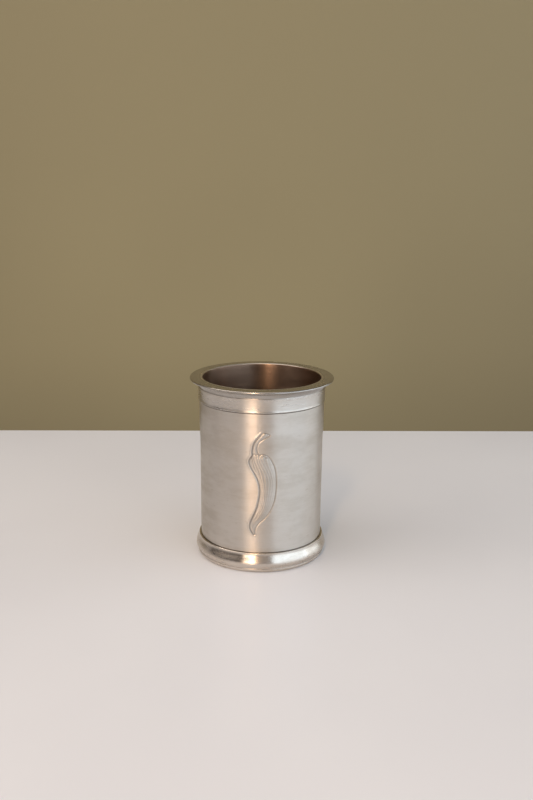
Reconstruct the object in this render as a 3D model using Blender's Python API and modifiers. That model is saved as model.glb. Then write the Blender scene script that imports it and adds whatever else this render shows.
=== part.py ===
"""A pewter drinking beaker with a chilli in low relief on its wall.

Five soldered pieces: the turned wall, the collar band and the flat flange round its top, the
moulded foot ring round its lower end, and the base plate that closes it. Metres, +Z up. It
stands on the origin, on its own axis, with the chilli facing -Y.
"""

import math

import bmesh
import bpy
from mathutils import Vector
from mathutils.geometry import interpolate_bezier

MM = 0.001

# The vessel
HEIGHT = 126.8 * MM
BORE_RADIUS = 40.9 * MM
WALL_AT_NECK = 1.5 * MM  # wall thickness inside the collar and the flange
WALL_AT_SHOULDER = 2.35 * MM  # below the collar, which sits in a rebate above it
WALL_AT_MIDDLE = 1.85 * MM
WALL_AT_FOOT = 1.7 * MM
SHOULDER_LENGTH = 14.0 * MM  # from the collar's lower edge to where the wall starts to draw in
MIDDLE_BELOW_COLLAR = 34.0 * MM
LIP_BEVEL = 0.8 * MM

# The rim
FLANGE_OVERHANG = 7.3 * MM  # past the neck
FLANGE_THICKNESS = 1.6 * MM
COVE_RADIUS = 4.2 * MM  # the hollow curve under the flange
COLLAR_THICKNESS = 1.3 * MM
COLLAR_HEIGHT = 9.6 * MM
COLLAR_WAIST = 0.25 * MM  # how far the collar's face is hollowed
COLLAR_EDGE = 0.6 * MM  # rounding of the collar's lower edge

# The foot
FOOT_HEIGHT = 13.6 * MM
FOOT_OVERHANG = 3.5 * MM  # widest place of the moulding, past the wall's outside
FOOT_NECK = 1.1 * MM  # thickness of the foot ring's upper edge
FOOT_EDGE = 0.5 * MM  # rounding of that edge
LIP_HEIGHT = 2.8 * MM
LIP_SETBACK = 1.1 * MM  # the lip, inside the moulding's widest place
LIP_ROLL = 1.5 * MM  # how far the lip curls under to where it stands
LEDGE_HEIGHT = 4.0 * MM  # carries the wall and the base plate
LEDGE_WIDTH = 2.9 * MM  # how far the ledge reaches in past the bore
BASE_THICKNESS = 2.2 * MM
BASE_EDGE_BEVEL = 0.3 * MM

# The chilli
CHILLI_LENGTH = 71.0 * MM  # stem end to tip, upright
RELIEF = 0.5 * MM
RELIEF_ROOT = 0.6 * MM  # how deep its solid is sunk into the wall, deeper than the groove
GROOVE_WIDTH = 0.7 * MM  # the chased line round it
GROOVE_DEPTH = 0.35 * MM

SOLDER_GAP = 0.3 * MM
TURNED_STEPS = 72
SMOOTH_UNDER = math.radians(35)

# Heights and radii that several pieces share
NECK_RADIUS = BORE_RADIUS + WALL_AT_NECK
SHOULDER_RADIUS = BORE_RADIUS + WALL_AT_SHOULDER
MIDDLE_RADIUS = BORE_RADIUS + WALL_AT_MIDDLE
SOCKET_RADIUS = BORE_RADIUS + WALL_AT_FOOT
FLANGE_BOTTOM = HEIGHT - FLANGE_THICKNESS - COVE_RADIUS
COLLAR_TOP = FLANGE_BOTTOM - SOLDER_GAP
COLLAR_BOTTOM = COLLAR_TOP - COLLAR_HEIGHT
SHOULDER_HEIGHT = COLLAR_BOTTOM - SOLDER_GAP
WALL_BOTTOM = LEDGE_HEIGHT + SOLDER_GAP
SLEEVE_RADIUS = NECK_RADIUS + SOLDER_GAP  # inside of the collar and the flange
COLLAR_RADIUS = SLEEVE_RADIUS + COLLAR_THICKNESS


def clear_scene():
    for obj in list(bpy.data.objects):
        bpy.data.objects.remove(obj, do_unlink=True)


def new_collection(name):
    collection = bpy.data.collections.new(name)
    bpy.context.scene.collection.children.link(collection)
    return collection


def metal(name, colour, roughness):
    material = bpy.data.materials.new(name)
    material.use_nodes = True
    shader = material.node_tree.nodes["Principled BSDF"]
    shader.inputs["Base Color"].default_value = (*colour, 1.0)
    shader.inputs["Metallic"].default_value = 1.0
    shader.inputs["Roughness"].default_value = roughness
    material.diffuse_color = (*colour, 1.0)
    return material


def curve(start, start_handle, end_handle, end, count):
    """Points (radius, height) along a Bezier curve, without its last one."""
    knots = [Vector((*point, 0.0)) for point in (start, start_handle, end_handle, end)]
    return [(point.x, point.y) for point in interpolate_bezier(*knots, count)[:-1]]


def arc(centre, radius, start, end, count):
    """Points (radius, height) along an arc, both ends in it; the angles are in degrees."""
    points = []
    for i in range(count):
        angle = math.radians(start + (end - start) * i / (count - 1))
        points.append((centre[0] + radius * math.cos(angle), centre[1] + radius * math.sin(angle)))
    return points


def turned(name, profile, collection):
    """A ring from a closed profile that runs down its outer side and up its inner side."""
    mesh = bpy.data.meshes.new(name)
    count = len(profile)
    edges = [(i, (i + 1) % count) for i in range(count)]
    mesh.from_pydata([(radius, 0.0, height) for radius, height in profile], edges, [])
    obj = bpy.data.objects.new(name, mesh)
    collection.objects.link(obj)
    screw = obj.modifiers.new("Turn", "SCREW")
    screw.axis = "Z"
    screw.steps = TURNED_STEPS
    screw.render_steps = TURNED_STEPS
    screw.use_merge_vertices = True
    screw.merge_threshold = 0.01 * MM
    return obj


def finish(obj, material):
    """Applies the object's modifiers, shades its corners sharp and gives it its material."""
    graph = bpy.context.evaluated_depsgraph_get()
    mesh = bpy.data.meshes.new_from_object(obj.evaluated_get(graph))
    obj.modifiers.clear()
    obj.data = mesh
    mesh.name = obj.name
    mesh.shade_smooth()
    mesh.set_sharp_from_angle(angle=SMOOTH_UNDER)
    mesh.materials.clear()
    mesh.materials.append(material)


def as_cutter(obj):
    obj.hide_render = True
    obj.display_type = "WIRE"


def boolean(obj, other, operation):
    modifier = obj.modifiers.new(other.name, "BOOLEAN")
    modifier.operation = operation
    modifier.solver = "EXACT"
    modifier.object = other


def wall_outside(offset=0.0):
    """The wall's outer side from its shoulder down to the foot, moved out by the offset."""
    top = (SHOULDER_RADIUS + offset, SHOULDER_HEIGHT)
    shoulder = (SHOULDER_RADIUS + offset, COLLAR_BOTTOM - SHOULDER_LENGTH)
    middle = (MIDDLE_RADIUS + offset, COLLAR_BOTTOM - MIDDLE_BELOW_COLLAR)
    bottom = (SOCKET_RADIUS + offset, FOOT_HEIGHT)
    half = (shoulder[1] - middle[1]) / 2
    third = (middle[1] - bottom[1]) / 3
    return [
        top,
        *curve(shoulder, (shoulder[0], shoulder[1] - half), (middle[0], middle[1] + half), middle, 8),
        *curve(middle, (middle[0], middle[1] - third), (bottom[0], bottom[1] + third), bottom, 5),
        bottom,
    ]


def chilli_outline():
    """The chilli's outline from the stem's cut end round by the left, in mm from its middle.

    It is drawn for a length of 71 mm, as the wall is seen from outside: +X to the right.
    """
    left = [
        (1.5, 35.5), (-2.0, 32.5), (-5.0, 28.5), (-6.3, 23.0), (-6.2, 20.0), (-7.6, 18.0),
        (-8.4, 15.5), (-7.0, 11.5), (-3.8, 6.0), (-1.8, 1.0), (-1.0, -4.5), (-1.6, -10.5),
        (-3.0, -16.5), (-5.2, -22.0), (-7.3, -27.0), (-7.8, -30.0), (-6.8, -33.0),
    ]
    tip = [(-4.3, -35.5)]
    right = [
        (-3.8, -31.5), (-1.8, -28.0), (2.5, -24.0), (6.0, -19.0), (8.6, -13.0), (9.9, -6.0),
        (10.2, 2.0), (9.4, 9.5), (7.7, 14.5), (5.0, 19.0), (1.5, 21.0), (-1.0, 20.5),
        (-2.4, 22.0), (-3.1, 25.2), (-1.8, 28.8), (1.5, 31.5), (5.5, 34.0),
    ]
    scale = CHILLI_LENGTH / 71.0
    return [(x * scale, z * scale) for x, z in left + tip + right]


def chilli_prism(name, widening, cutters):
    """A straight prism on the chilli's outline, through the front of the wall and out of it."""
    outline = bpy.data.curves.new(name, "CURVE")
    outline.dimensions = "2D"
    outline.fill_mode = "BOTH"
    outline.extrude = SHOULDER_RADIUS / 4
    outline.offset = widening
    outline.resolution_u = 3
    spline = outline.splines.new("BEZIER")
    points = chilli_outline()
    spline.bezier_points.add(len(points) - 1)
    for knot, (x, z) in zip(spline.bezier_points, points):
        knot.co = (x, z, 0.0)
        knot.handle_left_type = "AUTO"
        knot.handle_right_type = "AUTO"
    spline.use_cyclic_u = True
    drawn = bpy.data.objects.new(name, outline)
    drawn.rotation_euler = (math.radians(90), 0.0, 0.0)
    drawn.location = (0.0, -SHOULDER_RADIUS, (COLLAR_BOTTOM + FOOT_HEIGHT) / 2)
    cutters.objects.link(drawn)
    bpy.context.view_layer.update()

    graph = bpy.context.evaluated_depsgraph_get()
    mesh = bpy.data.meshes.new_from_object(drawn.evaluated_get(graph))
    closed = bmesh.new()
    closed.from_mesh(mesh)
    bmesh.ops.remove_doubles(closed, verts=closed.verts, dist=0.001 * MM)
    closed.to_mesh(mesh)
    closed.free()
    prism = bpy.data.objects.new(name, mesh)
    prism.matrix_world = drawn.matrix_world.copy()
    cutters.objects.link(prism)
    bpy.data.objects.remove(drawn, do_unlink=True)
    return prism


def chilli_layer(name, widening, above, below, cutters):
    """The chilli's prism cut to a layer that follows the wall, so far above it and below it."""
    layer = chilli_prism(name, widening, cutters)
    shell = turned(name + "_shell", wall_outside(above) + wall_outside(-below)[::-1], cutters)
    boolean(layer, shell, "INTERSECT")
    as_cutter(shell)
    as_cutter(layer)
    return layer


def make_wall(collection, cutters):
    profile = [
        (BORE_RADIUS + LIP_BEVEL, HEIGHT),
        (NECK_RADIUS, HEIGHT),
        (NECK_RADIUS, SHOULDER_HEIGHT),
        *wall_outside(),
        (SOCKET_RADIUS, WALL_BOTTOM),
        (BORE_RADIUS, WALL_BOTTOM),
        (BORE_RADIUS, HEIGHT - LIP_BEVEL),
    ]
    wall = turned("body_wall", profile, collection)
    groove = chilli_layer("chilli_groove", GROOVE_WIDTH, RELIEF, GROOVE_DEPTH, cutters)
    relief = chilli_layer("chilli_relief", 0.0, RELIEF, RELIEF_ROOT, cutters)
    boolean(wall, groove, "DIFFERENCE")
    boolean(wall, relief, "UNION")
    finish(wall, metal("satin_pewter", (0.60, 0.56, 0.51), 0.34))


def make_flange(collection):
    edge = FLANGE_THICKNESS / 2
    outer = NECK_RADIUS + FLANGE_OVERHANG
    profile = [
        *arc((outer - edge, HEIGHT - edge), edge, 90, -90, 7),
        *arc((COLLAR_RADIUS + COVE_RADIUS, FLANGE_BOTTOM), COVE_RADIUS, 90, 180, 7),
        (SLEEVE_RADIUS, FLANGE_BOTTOM),
        (SLEEVE_RADIUS, HEIGHT),
    ]
    flange = turned("rim_flange", profile, collection)
    finish(flange, metal("satin_flange", (0.55, 0.52, 0.47), 0.22))


def make_collar(collection):
    face_bottom = COLLAR_BOTTOM + 2 * COLLAR_EDGE
    waist = COLLAR_RADIUS - COLLAR_WAIST
    third = (COLLAR_TOP - face_bottom) / 3
    profile = [
        *curve(
            (COLLAR_RADIUS, COLLAR_TOP),
            (waist, COLLAR_TOP - third),
            (waist, face_bottom + third),
            (COLLAR_RADIUS - COLLAR_EDGE / 4, face_bottom),
            6,
        ),
        *arc((COLLAR_RADIUS - COLLAR_EDGE, COLLAR_BOTTOM + COLLAR_EDGE), COLLAR_EDGE, 45, -90, 5),
        (SLEEVE_RADIUS, COLLAR_BOTTOM),
        (SLEEVE_RADIUS, COLLAR_TOP),
    ]
    collar = turned("collar_band", profile, collection)
    finish(collar, metal("satin_collar", (0.62, 0.58, 0.53), 0.28))


def make_foot(collection):
    """A rounded upper edge, a moulding first hollow then full, a groove, and the lip it stands on."""
    sleeve = SOCKET_RADIUS + SOLDER_GAP
    neck = sleeve + FOOT_NECK
    widest = SOCKET_RADIUS + FOOT_OVERHANG
    lip = widest - LIP_SETBACK
    moulding = FOOT_HEIGHT - LIP_HEIGHT
    edge = (neck - FOOT_EDGE, FOOT_HEIGHT)
    start = (neck, FOOT_HEIGHT - FOOT_EDGE)
    fullest = (widest, LIP_HEIGHT + 0.3 * moulding)
    fall = start[1] - fullest[1]
    groove = (lip - LIP_SETBACK / 4, LIP_HEIGHT)
    lean = 0.12 * moulding
    inner = BORE_RADIUS - LEDGE_WIDTH
    profile = [
        *curve(edge, (edge[0] + FOOT_EDGE / 2, FOOT_HEIGHT), (neck, start[1] + FOOT_EDGE / 2), start, 3),
        *curve(start, (neck, start[1] - 0.3 * fall), (widest, fullest[1] + 0.35 * fall), fullest, 8),
        *curve(fullest, (widest, fullest[1] - lean), (lip, LIP_HEIGHT + lean), groove, 5),
        *curve(groove, (lip, LIP_HEIGHT), (lip, LIP_HEIGHT / 4), (lip - LIP_ROLL, 0.0), 6),
        (lip - LIP_ROLL, 0.0),
        (inner, 0.0),
        (inner, LEDGE_HEIGHT),
        (sleeve, LEDGE_HEIGHT),
        (sleeve, FOOT_HEIGHT),
    ]
    foot = turned("foot_ring", profile, collection)
    finish(foot, metal("polished_foot", (0.66, 0.62, 0.57), 0.12))


def make_base(collection):
    """The disc inside the wall's lower end, on the foot ring's ledge."""
    mesh = bpy.data.meshes.new("base_plate")
    disc = bmesh.new()
    radius = BORE_RADIUS - SOLDER_GAP
    bmesh.ops.create_cone(
        disc, cap_ends=True, segments=TURNED_STEPS, radius1=radius, radius2=radius, depth=BASE_THICKNESS
    )
    disc.to_mesh(mesh)
    disc.free()
    base = bpy.data.objects.new("base_plate", mesh)
    base.location.z = WALL_BOTTOM + BASE_THICKNESS / 2
    collection.objects.link(base)
    bevel = base.modifiers.new("Edge", "BEVEL")
    bevel.width = BASE_EDGE_BEVEL
    bevel.segments = 2
    bevel.limit_method = "ANGLE"
    finish(base, metal("dull_base", (0.50, 0.47, 0.43), 0.42))


def main():
    clear_scene()
    vessel = new_collection("pewter_beaker")
    cutters = new_collection("cutters")
    make_wall(vessel, cutters)
    make_flange(vessel)
    make_collar(vessel)
    make_foot(vessel)
    make_base(vessel)


main()
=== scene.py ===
"""The looks of the pewter beaker: finely turned meshes for its five pieces, the chilli chased into
the wall, pewter in five finishes, and a plain table in front of a plain wall."""

import math

import bpy
import numpy as np
from mathutils import Euler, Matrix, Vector


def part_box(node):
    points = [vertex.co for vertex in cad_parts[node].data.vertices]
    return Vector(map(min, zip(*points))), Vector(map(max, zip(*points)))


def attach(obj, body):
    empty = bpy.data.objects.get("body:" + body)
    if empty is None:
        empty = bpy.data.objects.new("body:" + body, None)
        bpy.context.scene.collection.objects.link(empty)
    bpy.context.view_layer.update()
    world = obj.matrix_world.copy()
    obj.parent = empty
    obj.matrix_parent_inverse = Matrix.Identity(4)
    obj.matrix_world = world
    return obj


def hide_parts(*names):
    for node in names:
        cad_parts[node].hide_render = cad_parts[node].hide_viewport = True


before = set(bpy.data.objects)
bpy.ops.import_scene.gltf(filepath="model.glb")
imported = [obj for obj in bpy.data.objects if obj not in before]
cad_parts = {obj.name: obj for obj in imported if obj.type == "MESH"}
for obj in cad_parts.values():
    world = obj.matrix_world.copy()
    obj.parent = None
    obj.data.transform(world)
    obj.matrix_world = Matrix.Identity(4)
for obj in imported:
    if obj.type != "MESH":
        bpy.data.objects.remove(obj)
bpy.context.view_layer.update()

MM = 0.001

# Places and radii read from the frame
FLANGE_LOW, FLANGE_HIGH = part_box("rim_flange")
COLLAR_LOW, COLLAR_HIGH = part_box("collar_band")
WALL_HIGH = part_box("body_wall")[1]
FOOT_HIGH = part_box("foot_ring")[1]
BASE_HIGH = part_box("base_plate")[1]
HEIGHT = FLANGE_HIGH[2]
SHOULDER_RADIUS = WALL_HIGH[0]
FLANGE_RADIUS = FLANGE_HIGH[0]
COLLAR_RADIUS = COLLAR_HIGH[0]
FOOT_RADIUS = FOOT_HIGH[0]
FOOT_TOP = FOOT_HIGH[2]
COLLAR_BOTTOM = COLLAR_LOW[2]
FLANGE_BOTTOM = FLANGE_LOW[2]

# Sizes that the CAD source states and the boxes don't show
SOLDER_GAP = 0.3 * MM
BORE_RADIUS = BASE_HIGH[0] + SOLDER_GAP
NECK_RADIUS = BORE_RADIUS + 1.5 * MM
SOCKET_RADIUS = BORE_RADIUS + 1.7 * MM
MIDDLE_RADIUS = BORE_RADIUS + 1.85 * MM
SHOULDER_LENGTH = 14.0 * MM
MIDDLE_BELOW_COLLAR = 34.0 * MM
FLANGE_THICKNESS = 1.6 * MM
LIP_BEVEL = 0.8 * MM
LIP_HEIGHT = 2.8 * MM
LIP_SETBACK = 1.1 * MM
LIP_ROLL = 1.5 * MM
FOOT_NECK = 1.1 * MM
FOOT_EDGE = 0.5 * MM
LEDGE_HEIGHT = 4.0 * MM
LEDGE_WIDTH = 2.9 * MM
COLLAR_WAIST = 0.25 * MM
COLLAR_EDGE = 0.6 * MM
BASE_EDGE = 0.3 * MM

# The visible joints are solder lines, finer than the gaps between the CAD solids. Under the collar
# and above the foot the line is wider, down to a depth, and closes by the end.
SOLDER_LINE = 0.05 * MM
CREASE = 0.28 * MM
CREASE_DEPTH = 1.2 * MM
CREASE_END = 1.4 * MM

# Small roundings that only the visible pieces have
WALL_EDGE = 0.3 * MM
COLLAR_STEP = 0.2 * MM
FOOT_INNER_EDGE = 0.5 * MM

# Unevenness of the turned metal: how far it goes, and the length of its waves along the axis
WALL_UNEVEN, WALL_WAVE = 0.035 * MM, 45 * MM
BORE_UNEVEN, BORE_WAVE = 0.03 * MM, 60 * MM
RIM_UNEVEN = 0.012 * MM
FOOT_UNEVEN = 0.015 * MM
RING_WAVE = 30 * MM
WAVES, WAVES_SUM = 9, 4.0
MOST_LOBES = 8

# How closely the meshes are divided
TURNED_STEPS = 320
BASE_STEPS = 200
CHILLI_ROWS, CHILLI_COLUMNS = 300, 104
PLAIN_ROWS, PLAIN_COLUMNS = 26, 216
BORE_ROWS = 110
SHARP_OVER = math.radians(40)


# ---------------------------------------------------------------- shapes

def smooth(low, high, x):
    t = np.clip((np.asarray(x, float) - low) / (high - low), 0.0, 1.0)
    return t * t * (3 - 2 * t)


def ridge(offset, width):
    """1 where the offset is 0, fading over the width on both sides."""
    return np.exp(-((offset / width) ** 2))


def bezier(start, start_handle, end_handle, end, count):
    """Points (radius, height) along a cubic curve, without its last one."""
    knots = [np.array(point) for point in (start, start_handle, end_handle, end)]
    points = []
    for i in range(count):
        t = i / count
        weights = ((1 - t) ** 3, 3 * t * (1 - t) ** 2, 3 * t * t * (1 - t), t ** 3)
        points.append(tuple(sum(w * k for w, k in zip(weights, knots))))
    return points


def arc(centre, radius, start, end, count):
    """Points (radius, height) along an arc, both ends in it; the angles are in degrees."""
    angles = np.radians(np.linspace(start, end, count))
    return [(centre[0] + radius * math.cos(a), centre[1] + radius * math.sin(a)) for a in angles]


def line(start, end, count):
    """Points from the start up to the end, without the end."""
    span = np.array(end) - np.array(start)
    return [tuple(np.array(start) + span * i / count) for i in range(count)]


def waviness(angle, height, seed, size):
    """A slow unevenness of the turned metal, mostly between -1 and 1."""
    rng = np.random.default_rng(seed)
    total = np.zeros(np.broadcast(angle, height).shape)
    for _ in range(WAVES):
        lobes = rng.integers(1, MOST_LOBES + 1)
        along = rng.uniform(-1, 1) * 2 * math.pi / size
        total = total + np.sin(lobes * angle + along * height + rng.uniform(0, 2 * math.pi))
    return total / WAVES_SUM


def grid_mesh(name, radius, height, angle):
    """A closed surface of revolution: radius and height are arrays of (profile point, angle)."""
    rows, columns = radius.shape
    points = np.stack([radius * np.sin(angle), -radius * np.cos(angle), height], axis=-1)
    index = np.arange(rows * columns).reshape(rows, columns)
    right = np.roll(index, -1, axis=1)
    below = np.roll(index, -1, axis=0)
    below_right = np.roll(right, -1, axis=0)
    faces = np.stack([index, below, below_right, right], axis=-1).reshape(-1, 4)
    mesh = bpy.data.meshes.new(name)
    mesh.from_pydata(points.reshape(-1, 3).tolist(), [], faces.tolist())
    mesh.shade_smooth()
    mesh.set_sharp_from_angle(angle=SHARP_OVER)
    piece = bpy.data.objects.new(name, mesh)
    bpy.context.scene.collection.objects.link(piece)
    return piece


def full_turn(steps):
    return np.linspace(0, 2 * math.pi, steps, endpoint=False)[None, :]


def turned(name, profile, unevenness, seed):
    """A ring from a closed profile that runs down its outer side and up its inner side."""
    profile = np.array(profile)
    angle = full_turn(TURNED_STEPS)
    radius = profile[:, 0:1] + unevenness * waviness(angle, profile[:, 1:2], seed, RING_WAVE)
    height = np.repeat(profile[:, 1:2], TURNED_STEPS, axis=1)
    return grid_mesh(name, radius, height, angle)


def stands_for(piece, node, material):
    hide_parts(node)
    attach(piece, "root")
    piece.data.materials.append(material)


# ---------------------------------------------------------------- the chilli

# In mm from the chilli's middle, as seen from outside with +X to the right. The left side runs
# from the stem's cut end down to the tip, the right side from the tip up to the cut end.
CHILLI_LEFT = [
    (1.5, 35.5), (-2.0, 32.5), (-5.0, 28.5), (-6.3, 23.0), (-6.2, 20.0), (-7.6, 18.0),
    (-8.4, 15.5), (-7.0, 11.5), (-3.8, 6.0), (-1.8, 1.0), (-1.0, -4.5), (-1.6, -10.5),
    (-3.0, -16.5), (-5.2, -22.0), (-7.3, -27.0), (-7.8, -30.0), (-6.8, -33.0), (-4.3, -35.5),
]
CHILLI_RIGHT = [
    (-3.8, -31.5), (-1.8, -28.0), (2.5, -24.0), (6.0, -19.0), (8.6, -13.0), (9.9, -6.0),
    (10.2, 2.0), (9.4, 9.5), (7.7, 14.5), (5.0, 19.0), (1.5, 21.0), (-1.0, 20.5),
    (-2.4, 22.0), (-3.1, 25.2), (-1.8, 28.8), (1.5, 31.5), (5.5, 34.0),
]
CHILLI_MIDDLE = (COLLAR_BOTTOM + FOOT_TOP) / 2

# The close-set part of the wall's mesh reaches this far from the chilli's middle
CHILLI_REACH = 38.5 * MM
CHILLI_HALF_WIDTH = 12.5 * MM

# Heights and depths of the chasing, in mm
GROOVE_DEPTH = 0.26
OUTER_BANK = 0.10
INNER_BANK = 0.13
POD_SWELL = 0.34
STRIATION_HEIGHT = 0.19
CALYX_DEPTH = 0.18
NICK_DEPTH = 0.14
CUT_END_DEPTH = 0.10
STRIATIONS = 8.0

# How dark the marks and the valleys are, next to the outline's 1, and the depth that is full grime and
# painted shade
MARK_DARKNESS = 0.9
VALLEY_DARKNESS = 0.20
FULL_GRIME_AND_SHADE = 0.3


def through(points, per_span):
    """A closed smooth line through the points."""
    knots = np.array(points)
    before, after = np.roll(knots, 1, axis=0), np.roll(knots, -1, axis=0)
    slope = (after - before) / 2
    next_slope = np.roll(slope, -1, axis=0)
    line_points = []
    for t in np.arange(per_span) / per_span:
        line_points.append(
            (2 * t ** 3 - 3 * t ** 2 + 1) * knots
            + (t ** 3 - 2 * t ** 2 + t) * slope
            + (-2 * t ** 3 + 3 * t ** 2) * after
            + (t ** 3 - t ** 2) * next_slope
        )
    return np.stack(line_points, axis=1).reshape(-1, 2)


def distance_inside(x, z, outline):
    """Distance to the outline in mm, positive inside it."""
    flat = np.stack([x.ravel(), z.ravel()], axis=-1)
    ends = np.roll(outline, -1, axis=0)
    span = ends - outline
    nearest = np.full(len(flat), 1e9)
    inside = np.zeros(len(flat), bool)
    for start, end, step in zip(outline, ends, span):
        offset = flat - start
        along = np.clip(offset @ step / (step @ step), 0.0, 1.0)
        gap = offset - along[:, None] * step
        nearest = np.minimum(nearest, np.hypot(gap[:, 0], gap[:, 1]))
        crosses = (start[1] > flat[:, 1]) != (end[1] > flat[:, 1])
        if crosses.any():
            rise = np.where(crosses, (flat[:, 1] - start[1]) / (step[1] or 1e-9), 0.0)
            inside ^= crosses & (flat[:, 0] < start[0] + rise * step[0])
    return np.where(inside, nearest, -nearest).reshape(x.shape)


def across_chilli(x, z):
    """0 at the chilli's left side and 1 at its right side, at each height."""
    left_x, left_z = np.array(CHILLI_LEFT).T
    right_x, right_z = np.array(CHILLI_RIGHT).T
    left_edge = np.interp(z, left_z[::-1], left_x[::-1])
    right_edge = np.interp(z, right_z, right_x)
    return np.clip((x - left_edge) / np.maximum(right_edge - left_edge, 1.0), 0.0, 1.0)


def striations(z, across, inside):
    """The lines along the pod: their ridges and the valleys between them, from 0 to 1."""
    lines = STRIATIONS * across + 0.25 * np.sin(z / 4.0 + 6.0 * across)
    streaks = np.abs(np.sin(math.pi * lines)) ** 0.6
    fainter_right = 1 - 0.4 * smooth(0.45, 0.75, across)
    fainter_middle = 0.7 + 0.3 * smooth(6.0, 16.0, np.abs(z + 4.0))
    pod = 1 - smooth(19.0, 21.0, z)
    held = fainter_right * fainter_middle * pod * smooth(1.2, 2.2, inside)
    return streaks * held, (1 - streaks) * held


def marks(x, z, inside):
    """Depths of the calyx's toothed edge, the nick at the pod's shoulder and the stem's cut end."""
    tooth = 20.2 - 0.30 * x - 0.9 * np.abs(np.sin(1.5 * x + 0.6))
    calyx = CALYX_DEPTH * ridge(z - tooth, 0.35) * smooth(0.2, 0.8, inside)
    nick = NICK_DEPTH * ridge(x + 6.6, 0.45) * ridge(z - 18.4, 1.1)
    slanted = x - 3.4 - 0.5 * (z - 34.0)
    cut_end = CUT_END_DEPTH * ridge(slanted, 0.30) * smooth(32.0, 33.0, z)
    return calyx + nick + cut_end * smooth(0.2, 0.6, inside)


def chased(x, z):
    """Height of the chased chilli over the wall, and how deep in a groove, mark or valley a point lies, in
    mm; the second is painted as grime and shade.
    """
    inside = distance_inside(x, z, through(CHILLI_LEFT + CHILLI_RIGHT, 6))
    across = across_chilli(x, z)
    strength = 1.0 - 0.45 * smooth(0.45, 0.8, across)
    width = 0.30 + 0.10 * (1 - smooth(0.2, 0.6, across))
    groove = GROOVE_DEPTH * ridge(inside, width)
    banks = OUTER_BANK * ridge(inside + 1.0, 0.55) + INNER_BANK * ridge(inside - 1.0, 0.50)
    swell = POD_SWELL * smooth(0.3, 3.2, inside)
    ridges, valleys = striations(z, across, inside)
    marked = marks(x, z, inside)
    height = strength * (banks + swell - groove) + STRIATION_HEIGHT * ridges - marked
    return height, groove + MARK_DARKNESS * marked + VALLEY_DARKNESS * valleys


# ---------------------------------------------------------------- the five pieces

def wall_radius(height):
    """The wall's outside: a shoulder under the collar, then drawing in a little to the foot."""
    top = (SHOULDER_RADIUS, COLLAR_BOTTOM)
    shoulder = (SHOULDER_RADIUS, COLLAR_BOTTOM - SHOULDER_LENGTH)
    middle = (MIDDLE_RADIUS, COLLAR_BOTTOM - MIDDLE_BELOW_COLLAR)
    bottom = (SOCKET_RADIUS, FOOT_TOP)
    half = (shoulder[1] - middle[1]) / 2
    third = (middle[1] - bottom[1]) / 3
    curve = [top]
    curve += bezier(
        shoulder, (shoulder[0], shoulder[1] - half), (middle[0], middle[1] + half), middle, 40
    )
    curve += bezier(
        middle, (middle[0], middle[1] - third), (bottom[0], bottom[1] + third), bottom, 40
    )
    curve = np.array(curve + [bottom])
    return np.interp(height, curve[::-1, 1], curve[::-1, 0])


def outside_heights():
    """Heights down the wall's outside, in three runs; the middle one is close-set for the chilli."""
    top = COLLAR_BOTTOM - CREASE - WALL_EDGE
    high, low = CHILLI_MIDDLE + CHILLI_REACH, CHILLI_MIDDLE - CHILLI_REACH
    upper = np.linspace(top, high, PLAIN_ROWS, endpoint=False)
    drawn = np.linspace(high, low, CHILLI_ROWS, endpoint=False)
    lower = np.linspace(low, FOOT_TOP - 1.0 * MM, PLAIN_ROWS)
    return upper, drawn, lower


def wall_top():
    """The profile down the neck and over the shoulder's rounded edge."""
    shoulder = COLLAR_BOTTOM - CREASE
    edge = (SHOULDER_RADIUS - WALL_EDGE, shoulder - WALL_EDGE)
    return [(NECK_RADIUS, HEIGHT), (NECK_RADIUS, shoulder)] + arc(edge, WALL_EDGE, 90, 15, 5)


def bore_profile():
    low = LEDGE_HEIGHT + SOLDER_LINE + 1.0 * MM
    high = HEIGHT - LIP_BEVEL - 1.0 * MM
    return line((BORE_RADIUS, low), (BORE_RADIUS, high), BORE_ROWS)


def wall_angles():
    """Angles round the wall, close-set over the chilli."""
    half = CHILLI_HALF_WIDTH / SHOULDER_RADIUS
    front = np.linspace(-half, half, CHILLI_COLUMNS, endpoint=False)
    round_back = np.linspace(half, 2 * math.pi - half, PLAIN_COLUMNS, endpoint=False)
    return np.concatenate([front, round_back])[None, :]


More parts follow.
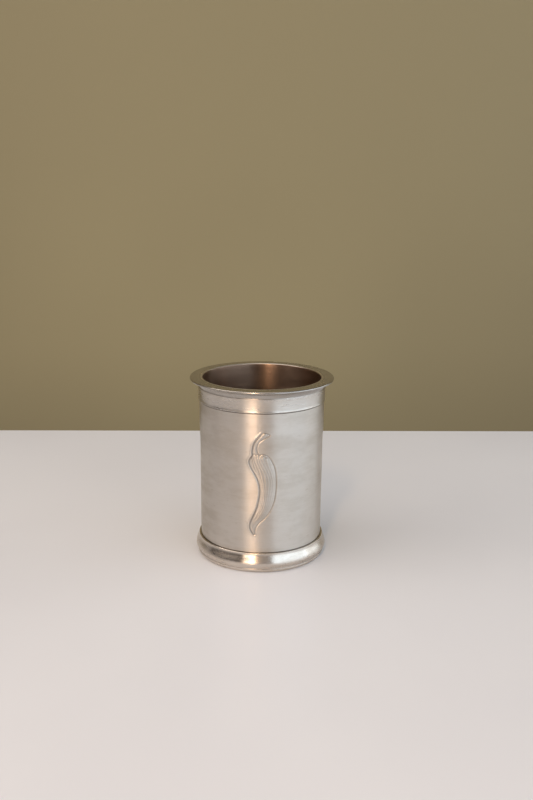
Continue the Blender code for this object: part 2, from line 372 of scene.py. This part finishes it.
def make_wall(material):
    """The wall, with close-set points where the chilli is."""
    upper, drawn, lower = outside_heights()
    outer = np.concatenate([upper, drawn, lower])
    bottom = LEDGE_HEIGHT + SOLDER_LINE
    profile = wall_top()
    above = len(profile)
    profile += [(wall_radius(z), z) for z in outer]
    profile += [(SOCKET_RADIUS, bottom), (BORE_RADIUS, bottom)]
    below = len(profile)
    profile += bore_profile()
    profile += arc((BORE_RADIUS + LIP_BEVEL, HEIGHT - LIP_BEVEL), LIP_BEVEL, 180, 90, 8)
    profile = np.array(profile)
    outside = slice(above, above + len(outer))
    bore = slice(below, below + BORE_ROWS)
    rows = slice(above + len(upper), above + len(upper) + CHILLI_ROWS)

    angle = wall_angles()
    radius = np.repeat(profile[:, 0:1], angle.size, axis=1)
    height = np.repeat(profile[:, 1:2], angle.size, axis=1)
    free = smooth(0.0, 3 * MM, COLLAR_BOTTOM - outer) * smooth(0.0, 3 * MM, outer - FOOT_TOP)
    radius[outside] += WALL_UNEVEN * free[:, None] * waviness(angle, outer[:, None], 4, WALL_WAVE)
    relief, dark = np.zeros(radius.shape), np.zeros(radius.shape)
    x = np.repeat(angle[:, :CHILLI_COLUMNS] * SHOULDER_RADIUS / MM, CHILLI_ROWS, axis=0)
    z = np.repeat((drawn[:, None] - CHILLI_MIDDLE) / MM, CHILLI_COLUMNS, axis=1)
    relief[rows, :CHILLI_COLUMNS], dark[rows, :CHILLI_COLUMNS] = chased(x, z)
    radius += relief * MM
    radius[bore] += BORE_UNEVEN * waviness(angle, height[bore], 11, BORE_WAVE)

    wall = grid_mesh("wall", radius, height, angle)
    # Grime and painted shade in the chilli's grooves, marks and valleys, kept as a point attribute
    grime_and_shade = wall.data.attributes.new("grime_and_shade", "FLOAT", "POINT")
    grime_and_shade.data.foreach_set("value", np.clip(dark / FULL_GRIME_AND_SHADE, 0.0, 1.0).ravel())
    stands_for(wall, "body_wall", material)


def make_flange(material):
    edge = FLANGE_THICKNESS / 2
    cove = HEIGHT - FLANGE_THICKNESS - FLANGE_BOTTOM
    sleeve = NECK_RADIUS + SOLDER_LINE
    profile = line((sleeve, HEIGHT), (FLANGE_RADIUS - edge, HEIGHT), 8)
    profile += arc((FLANGE_RADIUS - edge, HEIGHT - edge), edge, 90, -90, 15)
    profile += arc((COLLAR_RADIUS + cove, FLANGE_BOTTOM), cove, 90, 180, 18)
    profile += [(sleeve, FLANGE_BOTTOM)]
    flange = turned("flange", profile, RIM_UNEVEN, 2)
    stands_for(flange, "rim_flange", material)


def make_collar(material):
    """A slightly hollow face between a fine step at the top and a bead at the lower edge."""
    top = FLANGE_BOTTOM - SOLDER_LINE
    creased, sleeve = NECK_RADIUS + CREASE, NECK_RADIUS + SOLDER_LINE
    face_top, face_bottom = top - COLLAR_STEP, COLLAR_BOTTOM + 2 * COLLAR_EDGE
    waist = COLLAR_RADIUS - COLLAR_WAIST
    third = (face_top - face_bottom) / 3
    bead = (COLLAR_RADIUS - COLLAR_EDGE, COLLAR_BOTTOM + COLLAR_EDGE)
    profile = [(COLLAR_RADIUS - 0.10 * MM, top)]
    profile += bezier(
        (COLLAR_RADIUS - 0.02 * MM, face_top),
        (waist, face_top - third),
        (waist, face_bottom + third),
        (COLLAR_RADIUS - COLLAR_EDGE / 4, face_bottom),
        16,
    )
    profile += arc(bead, COLLAR_EDGE, 30, -90, 9)
    profile += [(creased, COLLAR_BOTTOM), (creased, COLLAR_BOTTOM + CREASE_DEPTH)]
    profile += [(sleeve, COLLAR_BOTTOM + CREASE_END), (sleeve, top)]
    collar = turned("collar", profile, RIM_UNEVEN, 3)
    stands_for(collar, "collar_band", material)


def foot_outside():
    """The foot's outside: a rounded upper edge, the moulding, a groove, and the lip down to the table."""
    neck = SOCKET_RADIUS + SOLDER_GAP + FOOT_NECK
    lip = FOOT_RADIUS - LIP_SETBACK
    moulding = FOOT_TOP - LIP_HEIGHT
    edge = (neck - FOOT_EDGE, FOOT_TOP)
    start = (neck, FOOT_TOP - FOOT_EDGE)
    fullest = (FOOT_RADIUS, LIP_HEIGHT + 0.3 * moulding)
    fall = start[1] - fullest[1]
    groove = (lip - LIP_SETBACK / 4, LIP_HEIGHT)
    lean = 0.12 * moulding
    profile = bezier(
        edge, (edge[0] + FOOT_EDGE / 2, FOOT_TOP), (neck, start[1] + FOOT_EDGE / 2), start, 8
    )
    profile += bezier(
        start, (neck, start[1] - 0.3 * fall), (FOOT_RADIUS, fullest[1] + 0.35 * fall), fullest, 30
    )
    profile += bezier(
        fullest, (FOOT_RADIUS, fullest[1] - lean), (lip, LIP_HEIGHT + lean), groove, 14
    )
    profile += bezier(groove, (lip, LIP_HEIGHT), (lip, LIP_HEIGHT / 4), (lip - LIP_ROLL, 0.0), 16)
    return profile


def make_foot(material):
    """The foot's outside, its flat underside, the ledge for the base plate, and the socket."""
    rest = FOOT_RADIUS - LIP_SETBACK - LIP_ROLL
    inner = BORE_RADIUS - LEDGE_WIDTH
    inner_edge = inner + FOOT_INNER_EDGE
    creased, sleeve = SOCKET_RADIUS + CREASE, SOCKET_RADIUS + SOLDER_LINE
    profile = foot_outside()
    profile += line((rest, 0.0), (inner_edge, 0.0), 4)
    profile += arc((inner_edge, FOOT_INNER_EDGE), FOOT_INNER_EDGE, 270, 180, 5)
    profile += [(inner, LEDGE_HEIGHT), (sleeve, LEDGE_HEIGHT)]
    profile += [(sleeve, FOOT_TOP - CREASE_END), (creased, FOOT_TOP - CREASE_DEPTH)]
    profile += [(creased, FOOT_TOP)]
    foot = turned("foot", profile, FOOT_UNEVEN, 5)
    stands_for(foot, "foot_ring", material)


def make_base(material):
    """The base plate, faced on the lathe, with a centre mark left by the tailstock underneath."""
    low, high = LEDGE_HEIGHT + SOLDER_LINE, BASE_HIGH[2]
    rim = BORE_RADIUS - SOLDER_LINE
    hole = 0.3 * MM
    line_pitch, line_depth, plain_rim = 0.4 * MM, 0.008 * MM, 1.0 * MM
    mark_radius, mark_depth = 1.6 * MM, 0.35 * MM
    profile = line((hole, high), (rim - BASE_EDGE, high), 60)
    profile += arc((rim - BASE_EDGE, high - BASE_EDGE), BASE_EDGE, 90, 0, 4)
    profile += [(rim, low)]
    profile += line((rim - 0.2 * MM, low), (hole, low), 60)
    profile = np.array(profile)
    radii = profile[:, 0]
    is_top = profile[:, 1] > (low + high) / 2
    faced = line_depth * np.sin(radii / line_pitch) * (radii < rim - plain_rim)
    profile[:, 1] += np.where(is_top, faced, -faced)
    mark = (radii < mark_radius) & ~is_top
    profile[mark, 1] += mark_depth * (1 - profile[mark, 0] / mark_radius)
    radius = np.repeat(profile[:, 0:1], BASE_STEPS, axis=1)
    height = np.repeat(profile[:, 1:2], BASE_STEPS, axis=1)
    base = grid_mesh("base", radius[:-1], height[:-1], full_turn(BASE_STEPS))
    stands_for(base, "base_plate", material)


# ---------------------------------------------------------------- materials

SATIN = (0.62, 0.58, 0.53)
FLANGE_TONE = (0.43, 0.405, 0.375)
POLISHED = (0.66, 0.60, 0.535)
BASE_TONE = (0.50, 0.47, 0.43)
# The dark colour of oxide, also used to paint shade into the creases and the chilli's grooves and valleys
OXIDE_AND_SHADE = (0.085, 0.060, 0.042)

# Each is multiplied with the metal's own colour
DULL = (0.74, 0.69, 0.62)
BORE_TINT = (0.52, 0.385, 0.305)

# Noise repeats per metre: round the axis, across its fine and broad turning lines, and in smudges
ROUND_SCALE = 25.0
FINE_SCALE = 2600.0
BROAD_SCALE = 420.0
SMUDGE_SCALE = 42.0
BLOT_SCALE = 130.0
SMUDGE_SQUASH = 2.6

TARNISH_STRENGTH = 0.36
TARNISH_ROUGHNESS = 0.22
# How strongly the grime and painted shade darken the chilli's grooves and valleys
GRIME_AND_SHADE_STRENGTH = 0.62
BRUSHED_ROUND = 0.25
LINE_BUMP = 0.00003


class Nodes:
    """A material's node tree, with short calls for the few kinds of node used here."""

    def __init__(self, name):
        self.material = bpy.data.materials.new(name)
        self.material.use_nodes = True
        self.tree = self.material.node_tree
        self.shader = self.tree.nodes["Principled BSDF"]

    def add(self, kind, **values):
        made = self.tree.nodes.new(kind)
        for key, value in values.items():
            setattr(made, key, value)
        return made

    def put(self, socket, value):
        if isinstance(value, bpy.types.NodeSocket):
            self.tree.links.new(value, socket)
        else:
            socket.default_value = value

    def shade(self, name, value):
        self.put(self.shader.inputs[name], value)

    def math(self, operation, first, second=0.0, third=0.0):
        made = self.add("ShaderNodeMath", operation=operation)
        for socket, value in zip(made.inputs, (first, second, third)):
            self.put(socket, value)
        return made.outputs[0]

    def times(self, first, second):
        return self.math("MULTIPLY", first, second)

    def remap(self, value, low, high, to_low, to_high):
        made = self.add("ShaderNodeMapRange", interpolation_type="SMOOTHSTEP")
        for socket, number in zip(made.inputs, (value, low, high, to_low, to_high)):
            self.put(socket, number)
        return made.outputs[0]

    def mix(self, factor, first, second):
        made = self.add("ShaderNodeMix", data_type="RGBA")
        self.put(made.inputs[0], factor)
        for socket, colour in ((made.inputs[6], first), (made.inputs[7], second)):
            self.put(socket, (*colour, 1.0) if isinstance(colour, tuple) else colour)
        return made.outputs[2]

    def noise(self, vector, scale, detail=2.0, roughness=0.5):
        made = self.add("ShaderNodeTexNoise")
        self.put(made.inputs["Vector"], vector)
        made.inputs["Scale"].default_value = scale
        made.inputs["Detail"].default_value = detail
        made.inputs["Roughness"].default_value = roughness
        return made.outputs[0]

    def vector(self):
        """Position in object space."""
        return self.add("ShaderNodeTexCoord").outputs["Object"]

    def place(self):
        """Object-space position as x, y, z and the distance from the axis."""
        split = self.add("ShaderNodeSeparateXYZ")
        self.put(split.inputs[0], self.vector())
        x, y, z = split.outputs
        away = self.math("SQRT", self.math("ADD", self.times(x, x), self.times(y, y)))
        return x, y, z, away

    def combine(self, x, y, z):
        made = self.add("ShaderNodeCombineXYZ")
        for socket, value in zip(made.inputs, (x, y, z)):
            self.put(socket, value)
        return made.outputs[0]


def tinted(colour, factors):
    return tuple(c * f for c, f in zip(colour, factors))


def turning_lines(made, place, faced):
    """Fine and broad lines that run round a wall at each height or, faced, round a top at each radius."""
    x, y, z, away = place
    run = away if faced else z
    slow_x, slow_y = made.times(x, ROUND_SCALE), made.times(y, ROUND_SCALE)
    fine = made.noise(made.combine(slow_x, slow_y, made.times(run, FINE_SCALE)), 1.0, 3.0, 0.6)
    broad = made.noise(made.combine(slow_x, slow_y, made.times(run, BROAD_SCALE)), 1.0, 2.0)
    return fine, broad


def smudges(made, place):
    """How tarnished the metal is, and small darker spots."""
    x, y, z, _ = place
    rubbed = made.combine(x, y, made.times(z, SMUDGE_SQUASH))
    smudge = made.noise(rubbed, SMUDGE_SCALE, 6.0, 0.66)
    blot = made.noise(rubbed, BLOT_SCALE, 3.0, 0.6)
    tarnish = made.times(made.remap(smudge, 0.40, 0.68, 0.0, 1.0), TARNISH_STRENGTH)
    return tarnish, made.remap(blot, 0.62, 0.74, 0.0, 0.5)


def oxide_and_shade_in_creases(made, tone, place, creases, darkness):
    """Oxide and painted shade in creases, each a (height, width), on the outer side only."""
    z, away = place[2:]
    for crease_height, width in creases:
        off = made.math("ABSOLUTE", made.math("SUBTRACT", z, crease_height))
        depth = made.remap(off, width * 0.3, width, darkness, 0.0)
        outside = made.math("GREATER_THAN", away, NECK_RADIUS - 0.5 * MM)
        tone = made.mix(made.times(depth, outside), tone, OXIDE_AND_SHADE)
    return tone


def brushed(made, anisotropy):
    """Reflections stretched along the axis, because the metal is brushed round it."""
    made.shade("Anisotropic", anisotropy)
    made.shade("Anisotropic Rotation", BRUSHED_ROUND)
    tangent = made.add("ShaderNodeTangent", direction_type="RADIAL", axis="Z")
    made.shade("Tangent", tangent.outputs[0])


def pewter(
    name, colour, roughness, anisotropy, lines, faced=False, creases=(), darkness=0.85, grime_and_shade=False, bore=0.0
):
    """Turned pewter: fine lines round the axis, smudges, and darker metal in the creases, partly oxide and
    partly painted shade.

    Inside the bore's radius, where one is given, the metal is darker and browner.
    """
    made = Nodes(name)
    place = made.place()
    fine, broad = turning_lines(made, place, faced)
    tarnish, spots = smudges(made, place)
    dull = tinted(colour, DULL)
    tone = made.mix(made.math("MAXIMUM", tarnish, spots), colour, dull)
    tone = made.mix(made.remap(fine, 0.35, 0.65, 0.0, 0.10 * lines), tone, dull)
    broad_bump = 0.8
    if bore:
        within = made.remap(place[3], bore + 0.06 * MM, bore + 0.2 * MM, 1.0, 0.0)
        tone = made.mix(within, tone, tinted(colour, BORE_TINT))
        broad_bump = made.math("MULTIPLY_ADD", within, 3.0, broad_bump)
    tone = oxide_and_shade_in_creases(made, tone, place, creases, darkness)
    if grime_and_shade:
        # Grime and painted shade from the wall's point attribute
        held = made.add("ShaderNodeAttribute", attribute_name="grime_and_shade").outputs["Fac"]
        tone = made.mix(made.times(held, GRIME_AND_SHADE_STRENGTH), tone, OXIDE_AND_SHADE)
    made.shade("Base Color", tone)
    made.shade("Metallic", 1.0)

    rough = made.math("ADD", made.remap(broad, 0.3, 0.7, -0.03, 0.03), roughness)
    made.shade("Roughness", made.math("ADD", rough, made.times(tarnish, TARNISH_ROUGHNESS)))
    brushed(made, anisotropy)
    bump = made.add("ShaderNodeBump")
    bump.inputs["Strength"].default_value = 0.35 * lines
    bump.inputs["Distance"].default_value = LINE_BUMP
    made.put(bump.inputs["Height"], made.math("ADD", fine, made.times(broad, broad_bump)))
    made.shade("Normal", bump.outputs[0])
    return made.material


def clouded(made, cloud, first, second):
    """The two colours, mixed as the cloud goes."""
    return made.mix(made.remap(cloud, 0.3, 0.7, 0.0, 1.0), first, second)


def table_top():
    """A pale lacquered top, with faint dust and a soft gloss."""
    made = Nodes("table_top")
    vector = made.vector()
    cloud = made.noise(vector, 4.0, 3.0)
    speck = made.noise(vector, 900.0, 1.0)
    tone = clouded(made, cloud, (0.750, 0.775, 0.840), (0.780, 0.805, 0.865))
    dust = made.remap(speck, 0.79, 0.82, 0.0, 0.25)
    made.shade("Base Color", made.mix(dust, tone, (0.45, 0.42, 0.40)))
    made.shade("Roughness", made.remap(cloud, 0.3, 0.7, 0.30, 0.36))
    return made.material


def painted_wall():
    made = Nodes("painted_wall")
    cloud = made.noise(made.vector(), 1.6, 2.0)
    made.shade("Base Color", clouded(made, cloud, (0.258, 0.219, 0.126), (0.278, 0.237, 0.136)))
    made.shade("Roughness", 0.85)
    return made.material


def unlit_room_shade():
    """Painted shade: what the polished foot mirrors on the left, a dark sheet that stands for the unlit side
    of the room.
    """
    made = Nodes("unlit_room_shade")
    cloud = made.noise(made.vector(), 2.0, 2.0)
    made.shade("Base Color", clouded(made, cloud, (0.045, 0.042, 0.045), (0.075, 0.066, 0.060)))
    made.shade("Roughness", 0.9)
    return made.material


# ---------------------------------------------------------------- stage, light and camera

# The table's edges from the beaker's axis; the back edge's right end is further back by the
# turn, and its left end nearer by it
TABLE_BACK, TABLE_FRONT, TABLE_SIDE = 0.302, -1.6, 1.7
TABLE_TURN = 0.034
WALL_DISTANCE, WALL_SIDE, WALL_FOOT, WALL_TOP = 0.85, 2.2, -1.0, 1.9

# The dark sheet of painted shade for the unlit side of the room stands between these two places on the left,
# this high
SHADE_SHEET_BACK, SHADE_SHEET_FRONT, SHADE_SHEET_HEIGHT = (-1.95, 0.25), (-0.60, -1.55), 0.75

LIGHT_TARGET = (0.0, 0.0, 0.05)
WALL_TARGET = (-0.15, 0.85, 0.05)
LIGHTS = [
    # name, azimuth, distance, height, size, power, colour, target
    ("window", 54, 1.9, 0.56, (2.5, 1.10), 15.4, (0.73, 0.87, 1.0), LIGHT_TARGET),
    ("side_window", 112, 1.5, 0.36, (1.6, 0.7), 5.0, (0.82, 0.92, 1.0), LIGHT_TARGET),
    ("lamp", -14.5, 1.3, 0.40, (0.17, 0.60), 1.6, (1.0, 0.60, 0.35), LIGHT_TARGET),
    ("lamp_glow", -19, 1.4, 0.30, (0.50, 0.50), 2.3, (1.0, 0.80, 0.63), LIGHT_TARGET),
    ("high_lamp", -11, 1.1, 1.1, (0.08, 0.3), 3.6, (1.0, 0.70, 0.40), LIGHT_TARGET),
    ("left_glow", -70, 1.3, 0.95, (1.2, 0.6), 4.4, (1.0, 0.87, 0.78), LIGHT_TARGET),
    ("ceiling", -60, 0.55, 1.6, (2.2, 2.2), 13.5, (1.0, 0.95, 0.90), LIGHT_TARGET),
    ("wall_wash", -162, 0.474, -0.05, (0.7, 0.2), 0.5, (1.0, 0.93, 0.78), WALL_TARGET),
]
ROOM_COLOUR = (0.44, 0.40, 0.38, 1.0)
ROOM_STRENGTH = 0.74

CAMERA_PLACE = (0.0, -0.611, 0.2635)
CAMERA_LENS, CAMERA_SENSOR = 40.8, 36.0
CAMERA_PITCH, CAMERA_TURN, CAMERA_ROLL = math.radians(14.15), math.radians(0.31), math.radians(0.51)


def flat_stage(name, corners, material):
    mesh = bpy.data.meshes.new(name)
    mesh.from_pydata(corners, [], [tuple(range(len(corners)))])
    obj = bpy.data.objects.new(name, mesh)
    bpy.context.scene.collection.objects.link(obj)
    mesh.materials.append(material)
    return obj


def upright(first, second, low, high):
    """Corners of a standing panel between two places (x, y)."""
    return [(*first, low), (*second, low), (*second, high), (*first, high)]


def make_stage():
    flat_stage(
        "floor",
        [
            (-TABLE_SIDE, TABLE_FRONT, 0.0),
            (TABLE_SIDE, TABLE_FRONT, 0.0),
            (TABLE_SIDE, TABLE_BACK + TABLE_TURN, 0.0),
            (-TABLE_SIDE, TABLE_BACK - TABLE_TURN, 0.0),
        ],
        table_top(),
    )
    left, right = (-WALL_SIDE, WALL_DISTANCE), (WALL_SIDE, WALL_DISTANCE)
    flat_stage("backdrop", upright(left, right, WALL_FOOT, WALL_TOP), painted_wall())
    shade_sheet = flat_stage(
        "unlit_room_sheet", upright(SHADE_SHEET_BACK, SHADE_SHEET_FRONT, 0.0, SHADE_SHEET_HEIGHT), unlit_room_shade()
    )
    # Painted shade: the dark sheet is hidden from the camera, from diffuse light and from shadows, and shows
    # only in reflections
    shade_sheet.visible_camera = False
    shade_sheet.visible_diffuse = False
    shade_sheet.visible_shadow = False


def area_light(name, azimuth, distance, height, size, power, colour, target):
    """A rectangular light round the beaker; azimuth 0 is the camera's side, + is to the right."""
    light = bpy.data.lights.new(name, "AREA")
    light.shape = "RECTANGLE"
    light.size, light.size_y = size
    light.energy = power
    light.color = colour
    obj = bpy.data.objects.new(name, light)
    turn = math.radians(azimuth)
    obj.location = (distance * math.sin(turn), -distance * math.cos(turn), height)
    obj.rotation_euler = (Vector(target) - obj.location).to_track_quat("-Z", "Y").to_euler()
    obj.visible_camera = False
    bpy.context.scene.collection.objects.link(obj)


def make_light():
    """Cool windows on the right, warm lamps in front on the left, a pale ceiling, a low light on
    the wall behind, and a pale room around."""
    for light in LIGHTS:
        area_light(*light)
    world = bpy.data.worlds.new("room")
    world.use_nodes = True
    bpy.context.scene.world = world
    background = world.node_tree.nodes["Background"]
    background.inputs["Color"].default_value = ROOM_COLOUR
    background.inputs["Strength"].default_value = ROOM_STRENGTH


def make_camera():
    """The photograph's viewpoint: 61 cm in front of the beaker's axis and 26 cm above the table."""
    data = bpy.data.cameras.new("camera")
    data.sensor_width = CAMERA_SENSOR
    data.lens = CAMERA_LENS
    camera = bpy.data.objects.new("camera", data)
    camera.location = CAMERA_PLACE
    camera.rotation_euler = Euler((math.radians(90) - CAMERA_PITCH, 0.0, -CAMERA_TURN), "XYZ")
    camera.rotation_euler.rotate_axis("Z", CAMERA_ROLL)
    bpy.context.scene.collection.objects.link(camera)
    bpy.context.scene.camera = camera


def make_beaker():
    """The five pieces, each with its finish. A crease is its height and its width; the creases are darkened
    with oxide and painted shade.
    """
    under_collar = (COLLAR_BOTTOM - 0.15 * MM, 0.55 * MM)
    above_foot = (FOOT_TOP + 0.1 * MM, 0.45 * MM)
    under_flange = (FLANGE_BOTTOM - 0.2 * MM, 0.5 * MM)
    foot_groove = (LIP_HEIGHT, 0.4 * MM)
    wall = pewter(
        "satin_pewter",
        SATIN,
        roughness=0.34,
        anisotropy=0.75,
        lines=1.0,
        creases=(under_collar, above_foot),
        grime_and_shade=True,
        bore=BORE_RADIUS,
    )
    make_wall(wall)
    make_flange(
        pewter("satin_flange", FLANGE_TONE, roughness=0.20, anisotropy=0.3, lines=0.3, faced=True)
    )
    collar = pewter(
        "satin_collar",
        SATIN,
        roughness=0.28,
        anisotropy=0.75,
        lines=0.4,
        creases=(under_flange,),
        darkness=0.3,
    )
    make_collar(collar)
    foot = pewter(
        "polished_foot",
        POLISHED,
        roughness=0.21,
        anisotropy=0.6,
        lines=0.10,
        creases=(foot_groove,),
        darkness=0.3,
    )
    make_foot(foot)
    make_base(pewter("dull_base", BASE_TONE, roughness=0.42, anisotropy=0.5, lines=1.0, faced=True))


def main():
    make_beaker()
    make_stage()
    make_light()
    make_camera()
    bpy.context.scene.view_settings.view_transform = "Standard"


main()
